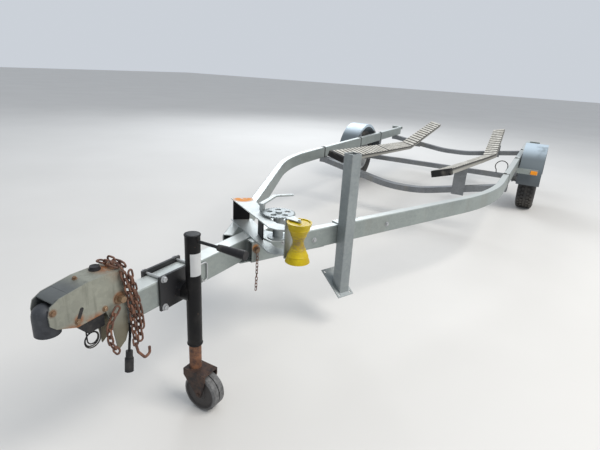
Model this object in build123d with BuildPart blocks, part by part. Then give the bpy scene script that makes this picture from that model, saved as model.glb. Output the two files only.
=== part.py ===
from build123d import *
import math
import os

# Single-axle boat trailer of galvanised tube, parked on its swivel jack.
# +X points forward to the coupler, +Y to the trailer's left side, +Z up.
# The origin is on the ground under the middle of the trailer. All sizes are in millimetres.

os.makedirs("parts", exist_ok=True)

# Fits: play round a pin or in a slide, the gap at a seat, and the room round a moving piece
running_gap = 0.3
seat_gap = 0.3
moving_clearance = 5.5

# Frame
deck_z = 569.0
rail_height = 101.6
rail_width = 50.8
tube_wall = 4.8
rail_corner = 7.0
frame_half_width = 900.0
rear_end_x = -2778.0
bow_angle = 23.94
bow_bend_radius = 1810.0
bow_start_x = 2306.0
tongue_width = 76.2
tongue_rear_x = 1905.0
tongue_front_x = 2980.0
gusset_sheet = 6.0
gusset_front_x = 2330.0
gusset_inset = 12.0

# Cross members
cross_tube_depth = 76.2
cross_tube_height = 50.8
cross_flat_half = 150.0
cross_bend_radius = 1290.0
cross_end_bend_radius = 180.0
cross_tube_wall = 3.2
cross_front_x = -300.0
cross_rear_x = -2600.0
cross_front_mid_z = 293.0
cross_rear_mid_z = 345.0

# Running gear
axle_x = -1585.0
axle_size = 50.8
tyre_radius = 305.0
tyre_width = 170.0
bead_radius = 165.0
rim_width = 130.0
flange_height = 12.0
flange_sheet = 4.0
tyre_rail_gap = 33.0
spindle_radius = 17.0
hub_radius = 42.0
hub_length = 95.0
hub_gap = 6.0
spring_eye_span = 690.0
spring_width = 44.0
leaf_thickness = 8.0
leaf_count = 3
spring_eye_z = 424.0
axle_plate = 8.0
clamp_bolt_radius = 6.0
fender_radius = 390.0
fender_width = 216.0
fender_sheet = 3.0
fender_lip = 32.0
fender_lip_z = 316.0
fender_gap = 12.0
stay_width = 40.0
stay_offset = 240.0

# Lamps
lamp_x = -1150.0
lamp_arm_length = 192.0
lamp_arm_z = 487.0
lamp_arm_sheet = 5.0
lamp_width = 62.0
lamp_height = 36.0
lamp_depth = 22.0
tail_arm_length = 95.0
tail_arm_sheet = 5.0
tail_arm_reach = 112.0

# Bunks
bunk_width = 146.0
bunk_thickness = 38.0
bunk_end_gap = 0.6
slat_pitch = 92.0
slat_length = 58.0
slat_height = 7.0
bracket_width = 106.0
bracket_sheet = 8.0
bracket_out = 40.0
bracket_foot = 34.0

# Jack
jack_x = 2712.0
jack_y = 108.0
jack_pivot_z = 500.0
jack_tube_radius = 28.6
jack_top_z = 739.0
jack_tube_bottom_z = 278.0
jack_cap_length = 60.0
jack_flange_radius = 36.0
jack_flange_thickness = 8.0
jack_pin_radius = 10.0
leg_radius = 24.0
leg_bottom_z = 174.0
leg_top_z = 600.0
clamp_plate = 10.0
clamp_length = 190.0
clamp_ahead = 12.0
clamp_over = 17.0
caster_radius = 78.0
caster_trail = 44.0
caster_wheel_width = 31.0
caster_wheel_space = 2.0
caster_pin_radius = 6.0
fork_sheet = 5.0
fork_gap = 2.0
crank_z = 715.0

# Coupler
housing_sheet = 4.8
housing_top_z = 681.0
housing_rear_x = 2962.0
ball_radius = 25.4
ball_x = 3206.0
ball_z = 588.0
socket_radius = 37.0
socket_bottom_z = 551.0
socket_top_z = 655.0
slide_bar_height = 44.0
slide_bar_raise = 12.0
slide_bar_rear_x = 3026.0
block_x = 3076.0
block_length = 60.0
block_bottom_z = 508.0

# Winch head, bow roller and post
head_plate = 5.0
head_upper_z = 686.0
tip_x = 2325.0
tip_y = 283.0
tip_half_width = 24.0
roller_bearing = 70.7
roller_mid_z = 648.0
roller_length = 172.0
roller_end_radius = 52.0
roller_neck_radius = 21.0
roller_pin_radius = 6.0
roller_ear = 4.0
roller_strap = 5.0
drum_x = 2197.0
drum_y = 150.0
drum_radius = 24.0
drum_flange_radius = 48.0
drum_shaft_radius = 11.0
gear_radius = 76.0
gear_thickness = 6.0
gear_teeth = 36
tooth_depth = 6.0
post_size = 63.5
post_wall = 4.0
post_top_z = 944.0
post_along = 537.0
foot_tilt = 32.0
foot_length = 184.0
foot_width = 103.0
foot_sheet = 6.0
foot_low_z = 192.0
foot_hole_radius = 6.5
saddle_width = 40.0
saddle_sheet = 6.0

# Chains
link_wire = 7.0
link_length = 40.0
link_width = 25.0
link_play = 0.8
thin_link_wire = 3.6
thin_link_length = 24.0
thin_link_width = 14.0
chain_bolt_radius = 12.0
touch_gap = 0.5


def save(solid, name):
    solid.label = name
    export_step(solid, f"parts/{name}.step")


def save_pair(solid, name):
    """Write a left-hand piece and its mirror image."""
    save(solid, f"{name}_left")
    save(mirror(solid, about=Plane.XZ), f"{name}_right")


# Plan of a bow rail: straight out of the tongue, one wide bend, then straight to the stern.
# The rail's inner front corner rests against the tongue's side.
bow = math.radians(bow_angle)
outward = (math.sin(bow), math.cos(bow))
forward = (math.cos(bow), -math.sin(bow))
rail_bottom_z = deck_z - rail_height
rail_mid_z = deck_z - rail_height / 2
centre_half_width = frame_half_width - rail_width / 2
tongue_face_y = tongue_width / 2
bow_start_y = tongue_face_y + rail_width * math.cos(bow) + seat_gap
bow_straight = (frame_half_width - bow_start_y - bow_bend_radius * (1 - math.cos(bow))) / math.sin(bow)


def rail_point(along, out=0.0):
    """Plan point by the straight bow rail: along from its front end, out from its outer face."""
    x = bow_start_x - forward[0] * along + outward[0] * out
    y = bow_start_y - forward[1] * along + outward[1] * out
    return (x, y)


with BuildPart() as rail_left:
    with BuildLine(Plane.XY.offset(rail_mid_z)) as rail_path:
        bow_run = Line(rail_point(0, -rail_width / 2), rail_point(bow_straight, -rail_width / 2))
        bend = JernArc(bow_run @ 1, bow_run % 1, bow_bend_radius - rail_width / 2, bow_angle)
        Line(bend @ 1, (rear_end_x, centre_half_width))
    with BuildSketch(Plane(origin=rail_path.line @ 0, x_dir=(outward[0], outward[1], 0),
                           z_dir=rail_path.line % 0)):
        RectangleRounded(rail_width, rail_height, rail_corner)
        RectangleRounded(rail_width - 2 * tube_wall, rail_height - 2 * tube_wall,
                         rail_corner - tube_wall + 1, mode=Mode.SUBTRACT)
    sweep()
save_pair(rail_left.part, "rail")

# Tongue: a rectangular tube, open at both ends
with BuildPart() as tongue:
    with BuildSketch(Plane.YZ.offset(tongue_rear_x)):
        with Locations((0, rail_mid_z)):
            RectangleRounded(tongue_width, rail_height, rail_corner)
            RectangleRounded(tongue_width - 2 * tube_wall, rail_height - 2 * tube_wall,
                             rail_corner - tube_wall + 1, mode=Mode.SUBTRACT)
    extrude(amount=tongue_front_x - tongue_rear_x)
save(tongue.part, "tongue")

# Junction plate welded under the tongue and both rails
with BuildPart() as junction:
    plate_rear_y = bow_start_y + (bow_start_x - tongue_rear_x) * math.tan(bow) - gusset_inset
    with BuildSketch(Plane.XY.offset(rail_bottom_z - gusset_sheet)):
        with BuildLine():
            Polyline((gusset_front_x, -tongue_face_y), (gusset_front_x, tongue_face_y),
                     (tongue_rear_x, plate_rear_y), (tongue_rear_x, -plate_rear_y), close=True)
        make_face()
    extrude(amount=gusset_sheet)
save(junction.part, "junction_plate")


# Cross members: bent tubes that dip in the middle to clear a keel and bolt up under the rails
def bent_edge(mid_z, offset):
    """Points and corner radii of one edge of a bent bar, offset up from its centreline."""
    end_z = rail_bottom_z - cross_tube_height / 2
    knee_y = frame_half_width - rail_width
    slope = math.atan2(end_z - mid_z, knee_y - cross_flat_half)
    shift = math.tan(slope / 2) * offset
    half = [(cross_flat_half - shift, mid_z + offset), (knee_y - shift, end_z + offset),
            (frame_half_width, end_z + offset)]
    points = [(-y, z) for y, z in reversed(half)] + half
    widest = 0.93 * cross_flat_half / math.tan(slope / 2)
    middle = min(cross_bend_radius, widest) - offset
    end = cross_end_bend_radius + offset
    return points, [end, middle, middle, end]


def make_cross_member(x, mid_z):
    with BuildPart() as member:
        for wall, mode in ((0.0, Mode.ADD), (cross_tube_wall, Mode.SUBTRACT)):
            top, top_radii = bent_edge(mid_z, cross_tube_height / 2 - wall)
            low, low_radii = bent_edge(mid_z, wall - cross_tube_height / 2)
            with BuildSketch(Plane.YZ.offset(x - cross_tube_depth / 2 + wall)):
                with BuildLine():
                    top_edge = FilletPolyline(*top, radius=top_radii)
                    low_edge = FilletPolyline(*low, radius=low_radii)
                    Line(top_edge @ 0, low_edge @ 0)
                    Line(top_edge @ 1, low_edge @ 1)
                make_face()
            extrude(amount=cross_tube_depth - 2 * wall, mode=mode)
    return member.part


save(make_cross_member(cross_front_x, cross_front_mid_z), "cross_member_front")
save(make_cross_member(cross_rear_x, cross_rear_mid_z), "cross_member_rear")

# Axle beam with a spindle at each end
wheel_y = frame_half_width + tyre_rail_gap + tyre_width / 2
hub_inner_y = wheel_y - hub_length / 2
hub_outer_y = wheel_y + hub_length / 2
beam_half_length = hub_inner_y - hub_gap
spindle_end_y = hub_outer_y - 8
with BuildPart() as axle:
    with Locations((axle_x, 0, tyre_radius)):
        Box(axle_size, 2 * beam_half_length, axle_size)
    with BuildSketch(Plane.XZ.offset(-spindle_end_y)):
        with Locations((axle_x, tyre_radius)):
            Circle(spindle_radius)
    extrude(amount=2 * spindle_end_y)
save(axle.part, "axle")

# Leaf springs over the axle, with their hangers under the rail and the plates that clamp the axle
spring_y = centre_half_width
axle_top_z = tyre_radius + axle_size / 2
axle_bottom_z = tyre_radius - axle_size / 2
pack_top_z = axle_top_z + leaf_count * leaf_thickness
with BuildPart() as spring_left:
    full_rise = spring_eye_z - pack_top_z
    for index in range(leaf_count):
        share = 1 - (leaf_count - 1 - index) * 0.27
        half = spring_eye_span * share / 2
        rise = full_rise * share * share
        low = axle_top_z + index * leaf_thickness
        high = low + leaf_thickness
        with BuildSketch(Plane.XZ.offset(-spring_y - spring_width / 2)):
            with BuildLine():
                under = ThreePointArc((axle_x - half, low + rise), (axle_x, low), (axle_x + half, low + rise))
                over = ThreePointArc((axle_x + half, high + rise), (axle_x, high),
                                     (axle_x - half, high + rise))
                Line(under @ 1, over @ 0)
                Line(over @ 1, under @ 0)
            make_face()
        extrude(amount=spring_width)
    for end in (-1, 1):
        hanger_x = axle_x + end * spring_eye_span / 2
        with BuildSketch(Plane.XZ.offset(-spring_y - spring_width / 2 - 4)):
            with BuildLine():
                Polyline((hanger_x - 42, rail_bottom_z), (hanger_x + 42, rail_bottom_z),
                         (hanger_x + 20, spring_eye_z - 22), (hanger_x - 20, spring_eye_z - 22), close=True)
            make_face()
        extrude(amount=spring_width + 8)
    for z in (axle_bottom_z - axle_plate / 2, pack_top_z + axle_plate / 2):
        with Locations((axle_x, spring_y, z)):
            Box(axle_size + 44, spring_width + 22, axle_plate)
    with BuildSketch(Plane.XY.offset(axle_bottom_z - axle_plate - 10)):
        with Locations((axle_x, spring_y)):
            with GridLocations(axle_size + 2 * clamp_bolt_radius + 1, spring_width - 2, 2, 2):
                Circle(clamp_bolt_radius)
    extrude(amount=pack_top_z - axle_bottom_z + 2 * axle_plate + 20)
save_pair(spring_left.part, "spring")

# Tyre: a closed ring whose beads sit in the rim
tyre_half = tyre_width / 2
rim_half = rim_width / 2
bead_z = tyre_radius + bead_radius
flange_z = bead_z + flange_height
crown_z = 2 * tyre_radius
tyre_profile = [(rim_half, bead_z), (rim_half, flange_z), (rim_half + flange_sheet, flange_z),
                (tyre_half - 3, flange_z + 24), (tyre_half, flange_z + 56), (tyre_half - 6, crown_z - 32),
                (tyre_half - 14, crown_z - 12), (tyre_half - 30, crown_z - 3), (0, crown_z)]
with BuildPart() as tyre_left:
    with BuildSketch(Plane.YZ.offset(axle_x)):
        with BuildLine():
            Polyline([(wheel_y + y, z) for y, z in tyre_profile] +
                     [(wheel_y - y, z) for y, z in reversed(tyre_profile[:-1])], close=True)
        make_face()
    revolve(axis=Axis((axle_x, 0, tyre_radius), (0, 1, 0)))
save_pair(tyre_left.part, "tyre")

# Steel wheel: a channel rim, a dished disc, and the hub with its dust cap
well_z = bead_z - 24
with BuildPart() as wheel_left:
    with BuildSketch(Plane.YZ.offset(axle_x)):
        with BuildLine():
            Polyline((wheel_y - rim_half, bead_z), (wheel_y - rim_half, flange_z),
                     (wheel_y - rim_half - flange_sheet, flange_z),
                     (wheel_y - rim_half - flange_sheet, bead_z - flange_sheet),
                     (wheel_y - 18, well_z), (wheel_y + 18, well_z),
                     (wheel_y + rim_half + flange_sheet, bead_z - flange_sheet),
                     (wheel_y + rim_half + flange_sheet, flange_z), (wheel_y + rim_half, flange_z),
                     (wheel_y + rim_half, bead_z), close=True)
        make_face()
        with BuildLine():
            Polyline((wheel_y - 12, well_z + 4), (wheel_y + 26, well_z - 26), (wheel_y + 26, tyre_radius + 64),
                     (wheel_y + 12, tyre_radius + hub_radius - 2), (wheel_y + 20, tyre_radius + hub_radius - 8),
                     (wheel_y + 34, tyre_radius + 60), (wheel_y + 34, well_z - 22),
                     (wheel_y + 2, well_z + 4), close=True)
        make_face()
        with BuildLine():
            bore_z = tyre_radius + spindle_radius + running_gap
            Polyline((hub_inner_y, bore_z), (hub_inner_y, tyre_radius + hub_radius),
                     (wheel_y + 22, tyre_radius + hub_radius), (wheel_y + 22, tyre_radius + 30),
                     (hub_outer_y + 12, tyre_radius + 27), (hub_outer_y + 12, tyre_radius),
                     (hub_outer_y, tyre_radius), (hub_outer_y, bore_z), close=True)
        make_face()
    revolve(axis=Axis((axle_x, 0, tyre_radius), (0, 1, 0)))
save_pair(wheel_left.part, "wheel")

# Fender: a rolled sheet with a lip down each side
fender_inner_y = frame_half_width + fender_gap
fender_outer_y = fender_inner_y + fender_width
with BuildPart() as fender_left:
    for start, depth, inner_radius in ((fender_outer_y, fender_width, fender_radius - fender_sheet),
                                       (fender_outer_y, fender_sheet, fender_radius - fender_lip),
                                       (fender_inner_y + fender_sheet, fender_sheet,
                                        fender_radius - fender_lip)):
        with BuildSketch(Plane.XZ.offset(-start)):
            with Locations((axle_x, tyre_radius)):
                Circle(fender_radius)
                Circle(inner_radius, mode=Mode.SUBTRACT)
            with Locations((axle_x, fender_lip_z - fender_radius)):
                Rectangle(3 * fender_radius, 2 * fender_radius, mode=Mode.SUBTRACT)
        extrude(amount=depth)
save_pair(fender_left.part, "fender")

# Fender stays: flat bars from each rail's outer face to the fender's inner lip
with BuildPart() as stays:
    lip_mid = fender_radius - fender_lip / 2
    stay_top = tyre_radius + math.sqrt(lip_mid ** 2 - stay_offset ** 2)
    for side in (-1, 1):
        for end in (-1, 1):
            with Locations((axle_x + end * stay_offset, side * (frame_half_width + fender_gap / 2),
                            (stay_top + rail_mid_z) / 2)):
                Box(stay_width, fender_gap, stay_top - rail_mid_z)
save(stays.part, "fender_stays")

# Side marker lamp on an angle arm in front of each fender
with BuildPart() as arm_left:
    with BuildSketch(Plane.XZ.offset(-frame_half_width - lamp_arm_length)):
        with BuildLine():
            Polyline((lamp_x - 18, lamp_arm_z), (lamp_x + 12, lamp_arm_z), (lamp_x + 12, lamp_arm_z - 50),
                     (lamp_x + 12 - lamp_arm_sheet, lamp_arm_z - 50),
                     (lamp_x + 12 - lamp_arm_sheet, lamp_arm_z - lamp_arm_sheet),
                     (lamp_x - 18, lamp_arm_z - lamp_arm_sheet), close=True)
        make_face()
    extrude(amount=lamp_arm_length)
save_pair(arm_left.part, "side_lamp_arm")

with BuildPart() as lamp_left:
    with BuildSketch(Plane.YZ.offset(lamp_x + 12)):
        with Locations((frame_half_width + lamp_arm_length - lamp_width / 2 - 4, lamp_arm_z - 27)):
            RectangleRounded(lamp_width, lamp_height, 8)
    extrude(amount=lamp_depth)
    fillet(lamp_left.faces().sort_by(Axis.X)[-1].edges(), radius=6)
save_pair(lamp_left.part, "side_lamp")

# Tail lamp bracket: a plate out of the rail's rear end with a crosswise bar to carry a lamp
with BuildPart() as tail_left:
    tail_x = rear_end_x - tail_arm_length
    with BuildSketch(Plane.XY.offset(deck_z)):
        with BuildLine():
            Polyline((rear_end_x + 60, frame_half_width - rail_width + 6), (rear_end_x + 60, frame_half_width - 6),
                     (tail_x + 40, frame_half_width - 6), (tail_x + 40, frame_half_width + tail_arm_reach),
                     (tail_x, frame_half_width + tail_arm_reach), (tail_x, frame_half_width - rail_width + 6),
                     close=True)
        make_face()
    extrude(amount=tail_arm_sheet)
    bar_start_y = frame_half_width - rail_width + 6
    bar_end_y = frame_half_width + tail_arm_reach
    with Locations((tail_x + tail_arm_sheet / 2, (bar_start_y + bar_end_y) / 2, deck_z - 18)):
        Box(tail_arm_sheet, bar_end_y - bar_start_y, 36)
save_pair(tail_left.part, "tail_lamp_bracket")

# Bunks: three boards in line on each side, ribbed on top, tilted in towards the keel.
# Each station gives x, the board's middle y, its top z and its roll in degrees.
bunk_stations = [
    (315.0, 447.0, 632.0, 17.0),
    (-1010.0, 489.0, 528.0, 15.5),
    (-2050.0, 517.0, 451.0, 14.0),
    (-3234.0, 447.0, 650.0, 10.5),
]


def bunk_plane(index):
    """Plane of a board's slat tops; its x runs along the board, its z stands out of the slats."""
    a = bunk_stations[index]
    b = bunk_stations[index + 1]
    roll = math.radians((a[3] + b[3]) / 2)
    start = Vector(a[0], a[1], a[2])
    along = (Vector(b[0], b[1], b[2]) - start).normalized()
    across = Vector(0, math.cos(roll), math.sin(roll))
    return Plane(origin=start, x_dir=along, z_dir=across.cross(along))


def bunk_length(index):
    a = bunk_stations[index]
    b = bunk_stations[index + 1]
    return math.dist(a[:3], b[:3]) - bunk_end_gap


for index, bunk_name in enumerate(("bunk_front", "bunk_middle", "bunk_rear")):
    plane = bunk_plane(index)
    length = bunk_length(index)
    slats = int((length - slat_length) // slat_pitch) + 1
    with BuildPart() as bunk:
        with BuildSketch(plane.offset(-slat_height)):
            with Locations(((length + bunk_end_gap) / 2, 0)):
                Rectangle(length, bunk_width)
        extrude(amount=-bunk_thickness)
        with BuildSketch(plane.offset(-slat_height)):
            with Locations(((length + bunk_end_gap) / 2, 0)):
                with GridLocations(slat_pitch, 1, slats, 1):
                    Rectangle(slat_length, bunk_width)
        extrude(amount=slat_height)
    save_pair(bunk.part, bunk_name)


def bunk_middle_y(index, x):
    a = bunk_stations[index]
    b = bunk_stations[index + 1]
    return a[1] + (a[0] - x) / (a[0] - b[0]) * (b[1] - a[1])


# Bunk brackets: upright plates against the cross members, cut to the underside of the boards
for cross_x, mid_z, index, name in ((cross_front_x, cross_front_mid_z, 0, "bunk_bracket_front"),
                                    (cross_rear_x, cross_rear_mid_z, 2, "bunk_bracket_rear")):
    middle = bunk_middle_y(index, cross_x) + bracket_out
    end_z = rail_bottom_z - cross_tube_height / 2
    share = (middle - bracket_width / 2 - cross_flat_half) / (frame_half_width - rail_width - cross_flat_half)
    low_z = mid_z + share * (end_z - mid_z) - bracket_foot
    underside = bunk_plane(index).offset(-slat_height - bunk_thickness)
    with BuildPart() as bracket:
        with Locations((cross_x + cross_tube_depth / 2 + bracket_sheet / 2, middle, low_z + 200)):
            Box(bracket_sheet, bracket_width, 400)
        split(bisect_by=underside, keep=Keep.BOTTOM)
    save_pair(bracket.part, name)

# Jack clamp: plates on both sides of the tongue, tied by bolts, with the swivel's boss and pin
boss_end_y = jack_y - jack_tube_radius - jack_flange_thickness - seat_gap
with BuildPart() as jack_clamp:
    for side in (-1, 1):
        with Locations((jack_x + clamp_ahead, side * (tongue_face_y + clamp_plate / 2), rail_mid_z)):
            Box(clamp_length, clamp_plate, rail_height + 2 * clamp_over)
    with BuildSketch(Plane.XZ.offset(-tongue_face_y - clamp_plate - 9)):
        with Locations((jack_x + clamp_ahead, rail_mid_z)):
            with GridLocations(clamp_length - 36, rail_height + 12, 2, 2):
                Circle(5.5)
    extrude(amount=tongue_width + 2 * clamp_plate + 18)
    with BuildSketch(Plane.XZ.offset(-boss_end_y)):
        with Locations((jack_x, jack_pivot_z)):
            Circle(jack_flange_radius - 3)
    extrude(amount=boss_end_y - tongue_face_y - clamp_plate)
    with BuildSketch(Plane.XZ.offset(-boss_end_y - jack_flange_thickness + 1)):
        with Locations((jack_x, jack_pivot_z)):
            Circle(jack_pin_radius)
    extrude(amount=jack_flange_thickness)
save(jack_clamp.part, "jack_clamp")

# Jack tube with its swivel flange; the leg runs inside it
with BuildPart() as jack_tube:
    with BuildSketch(Plane.XY.offset(jack_tube_bottom_z)):
        with Locations((jack_x, jack_y)):
            Circle(jack_tube_radius)
    extrude(amount=jack_top_z - jack_tube_bottom_z)
    fillet(jack_tube.faces().sort_by(Axis.Z)[-1].edges(), radius=6)
    with BuildSketch(Plane.XZ.offset(-jack_y)):
        with Locations((jack_x, jack_pivot_z)):
            Circle(jack_flange_radius)
    extrude(amount=jack_y - boss_end_y - seat_gap)
    with BuildSketch(Plane.XZ.offset(-boss_end_y - jack_flange_thickness - seat_gap)):
        with Locations((jack_x, jack_pivot_z)):
            Circle(jack_pin_radius + running_gap)
    extrude(amount=jack_flange_thickness + 2 * seat_gap, mode=Mode.SUBTRACT)
    with BuildSketch(Plane.XY.offset(jack_tube_bottom_z)):
        with Locations((jack_x, jack_y)):
            Circle(leg_radius + running_gap)
    extrude(amount=jack_top_z - jack_cap_length - jack_tube_bottom_z, mode=Mode.SUBTRACT)
save(jack_tube.part, "jack_tube")

# Crank: a rod out of the tube's side with a grip on its end
crank_start_y = jack_y + jack_tube_radius
with BuildPart() as jack_crank:
    with BuildSketch(Plane.XZ.offset(-crank_start_y - 92)):
        with Locations((jack_x, crank_z)):
            Circle(6)
    extrude(amount=92)
    with BuildSketch(Plane.XZ.offset(-crank_start_y - 92)):
        with Locations((jack_x, crank_z)):
            Circle(12)
    with BuildSketch(Plane.XZ.offset(-crank_start_y - 210)):
        with Locations((jack_x, crank_z)):
            Circle(17)
    loft()
save(jack_crank.part, "jack_crank")

with BuildPart() as jack_leg:
    with BuildSketch(Plane.XY.offset(leg_bottom_z)):
        with Locations((jack_x, jack_y)):
            Circle(leg_radius)
    extrude(amount=leg_top_z - leg_bottom_z)
save(jack_leg.part, "jack_leg")

# Caster under the leg: a fork that turns, and two wheels side by side on one pin
fork_top_z = leg_bottom_z - seat_gap
wheel_centre_y = jack_y + caster_trail
fork_half_inside = caster_wheel_width + caster_wheel_space / 2 + fork_gap
fork_rear_y = jack_y - 30
fork_front_y = wheel_centre_y + 34
with BuildPart() as caster_fork:
    with Locations((jack_x, (fork_rear_y + fork_front_y) / 2, fork_top_z - fork_sheet / 2)):
        Box(2 * (fork_half_inside + fork_sheet), fork_front_y - fork_rear_y, fork_sheet)
    for cheek_x in (jack_x + fork_half_inside, jack_x - fork_half_inside - fork_sheet):
        with BuildSketch(Plane.YZ.offset(cheek_x)):
            with BuildLine():
                Polyline((fork_rear_y, fork_top_z), (fork_front_y, fork_top_z), (fork_front_y, fork_top_z - 26),
                         (wheel_centre_y + 15, caster_radius), (wheel_centre_y + 10, caster_radius - 13),
                         (wheel_centre_y - 10, caster_radius - 13), (wheel_centre_y - 16, caster_radius),
                         (fork_rear_y, fork_top_z - 30), close=True)
            make_face()
        extrude(amount=fork_sheet)
    with BuildSketch(Plane.YZ.offset(jack_x - fork_half_inside - fork_sheet - 5)):
        with Locations((wheel_centre_y, caster_radius)):
            Circle(caster_pin_radius)
    extrude(amount=2 * (fork_half_inside + fork_sheet + 5))
save(caster_fork.part, "caster_fork")

with BuildPart() as caster_wheels:
    bore_y = wheel_centre_y + caster_pin_radius + running_gap
    tread_y = wheel_centre_y + caster_radius
    with BuildSketch(Plane.XY.offset(caster_radius)):
        for side in (-1, 1):
            inner_x = jack_x + side * caster_wheel_space / 2
            outer_x = inner_x + side * caster_wheel_width
            with BuildLine():
                Polyline((inner_x, bore_y), (outer_x, bore_y), (outer_x, bore_y + 16),
                         (outer_x - side * 6, bore_y + 20), (outer_x - side * 6, tread_y - 16),
                         (outer_x, tread_y - 12), (outer_x, tread_y - 5), (outer_x - side * 5, tread_y),
                         (inner_x + side * 1.5, tread_y), (inner_x, tread_y - 1.5), close=True)
            make_face()
        with Locations((jack_x, bore_y + 9)):
            Rectangle(2 * caster_wheel_space, 18)
    revolve(axis=Axis((jack_x, wheel_centre_y, caster_radius), (1, 0, 0)))
save(caster_wheels.part, "caster_wheels")

# Coupler housing: two cheeks, a top plate and a rear wall, over the tongue's front end
cheek_in = tongue_face_y + seat_gap
cheek_out = cheek_in + housing_sheet
cheek_outline = [(housing_rear_x, housing_top_z), (3089, housing_top_z), (3186, 666), (3214, 650),
                 (3222, 624), (3220, 592), (3203, 575), (3141, 550), (3040, 555), (3026, 520),
                 (3008, 392), (2976, 415), (housing_rear_x, 449)]
with BuildPart() as housing:
    for outer_y in (cheek_out, -cheek_in):
        with BuildSketch(Plane.XZ.offset(-outer_y)):
            with BuildLine():
                Polyline(cheek_outline, close=True)
            make_face()
        extrude(amount=housing_sheet)
    with BuildSketch(Plane.XZ.offset(-cheek_in)):
        with BuildLine():
            Polyline((housing_rear_x, housing_top_z), (3089, housing_top_z), (3156, 670.6), (3156, 665.6),
                     (3089, housing_top_z - housing_sheet), (housing_rear_x, housing_top_z - housing_sheet),
                     close=True)
        make_face()
    extrude(amount=2 * cheek_in)
    with Locations((housing_rear_x + housing_sheet / 2, 0, (deck_z + seat_gap + housing_top_z - 2) / 2)):
        Box(housing_sheet, 2 * cheek_in, housing_top_z - 2 - deck_z - seat_gap)
save(housing.part, "coupler_housing")

# Coupler slide: the ball socket and the bar behind it, which runs between the cheeks
bar_z = ball_z + slide_bar_raise
with BuildPart() as slide:
    with BuildSketch(Plane.XZ):
        with BuildLine():
            Polyline((ball_x, socket_top_z), (ball_x, socket_bottom_z), (ball_x + socket_radius, socket_bottom_z),
                     (ball_x + socket_radius, socket_top_z - 42))
            ThreePointArc((ball_x + socket_radius, socket_top_z - 42),
                          (ball_x + socket_radius * 0.74, socket_top_z - 12), (ball_x, socket_top_z))
        make_face()
    revolve(axis=Axis((ball_x, 0, 0), (0, 0, 1)))
    with BuildSketch(Plane.YZ.offset(slide_bar_rear_x)):
        with Locations((0, bar_z)):
            Rectangle(2 * (cheek_in - running_gap), slide_bar_height)
    extrude(amount=ball_x - 10 - slide_bar_rear_x)
    with BuildSketch(Plane.XZ):
        with BuildLine():
            ball_bore = ball_radius + running_gap
            CenterArc((ball_x, ball_z), ball_bore, 0, 90)
            Polyline((ball_x + ball_bore, ball_z), (ball_x + ball_bore, socket_bottom_z),
                     (ball_x, socket_bottom_z), (ball_x, ball_z + ball_bore))
        make_face()
    revolve(axis=Axis((ball_x, 0, 0), (0, 0, 1)), mode=Mode.SUBTRACT)
save(slide.part, "coupler_slide")

# Actuator block held between the cheeks, under the slide
with BuildPart() as actuator:
    block_top_z = bar_z - slide_bar_height / 2 - moving_clearance
    with Locations((block_x, 0, (block_bottom_z + block_top_z) / 2)):
        Box(block_length, 2 * cheek_in, block_top_z - block_bottom_z)
save(actuator.part, "actuator_block")

# Winch head: two equal plates lying flat over the junction, tied by webs
bearing = math.radians(roller_bearing)
tip_front = (tip_x + math.sin(bearing) * tip_half_width, tip_y - math.cos(bearing) * tip_half_width)
tip_rear = (tip_x - math.sin(bearing) * tip_half_width, tip_y + math.cos(bearing) * tip_half_width)
head_outline = [(2120, -183), (tip_x - 2, tip_y - 138), (tip_x + 37, tip_y - 78), (tip_x + 39, tip_y - 36),
                tip_front, tip_rear, (tip_x - 31, tip_y - 13), (tip_x - 27, tip_y - 78),
                (tip_x - 75, tip_y - 155), (2172, 42), (2117, -20), (2051, -103)]
head_lower_top = deck_z + head_plate
head_upper_low = head_upper_z - head_plate
with BuildPart() as head:
    for z in (deck_z, head_upper_low):
        with BuildSketch(Plane.XY.offset(z)):
            with BuildLine():
                Polyline(head_outline, close=True)
            make_face()
        extrude(amount=head_plate)
save(head.part, "winch_head_plates")

with BuildPart() as head_web:
    for centre, direction, web_length in (((2090, -139), (-69, 80, 0), 84.0),
                                          ((2232, 78), (78, 86, 0), 90.0)):
        with BuildSketch(Plane(origin=(centre[0], centre[1], head_lower_top), x_dir=direction,
                               z_dir=(0, 0, 1))):
            Rectangle(web_length, 6)
        extrude(amount=head_upper_low - head_lower_top)
save(head_web.part, "winch_head_webs")

# Winch: bearing arms on the head plates, the drum between them and the toothed gear on top
arm_outline = [(drum_x + x, drum_y + y) for x, y in
               ((51, -44), (-15, -117), (-37, -90), (-47, 0), (-17, 50), (28, 45), (65, 0))]
with BuildPart() as winch_frame:
    for z in (head_lower_top, head_upper_z):
        with BuildSketch(Plane.XY.offset(z)):
            with BuildLine():
                Polyline(arm_outline, close=True)
            make_face()
            with Locations((drum_x, drum_y)):
                Circle(drum_shaft_radius, mode=Mode.SUBTRACT)
        extrude(amount=head_plate)
save(winch_frame.part, "winch_frame")

drum_low_z = head_lower_top + head_plate + seat_gap
frame_top_z = head_upper_z + head_plate
gear_z = frame_top_z + seat_gap
with BuildPart() as drum:
    with BuildSketch(Plane.XY.offset(gear_z)):
        with Locations((drum_x, drum_y)):
            Circle(gear_radius - tooth_depth)
            with PolarLocations(gear_radius - tooth_depth, gear_teeth):
                Rectangle(2 * tooth_depth, 5.5)
            with PolarLocations(gear_radius * 0.57, 5):
                Circle(14, mode=Mode.SUBTRACT)
    extrude(amount=gear_thickness)
    for z, radius, height in ((gear_z + gear_thickness, 15, 7),
                              (head_lower_top, drum_shaft_radius - running_gap, gear_z - head_lower_top),
                              (drum_low_z, drum_radius, head_upper_z - drum_low_z - seat_gap),
                              (drum_low_z, drum_flange_radius, 4),
                              (head_upper_z - seat_gap - 4, drum_flange_radius, 4)):
        with BuildSketch(Plane.XY.offset(z)):
            with Locations((drum_x, drum_y)):
                Circle(radius)
        extrude(amount=height)
save(drum.part, "winch_drum")

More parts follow.
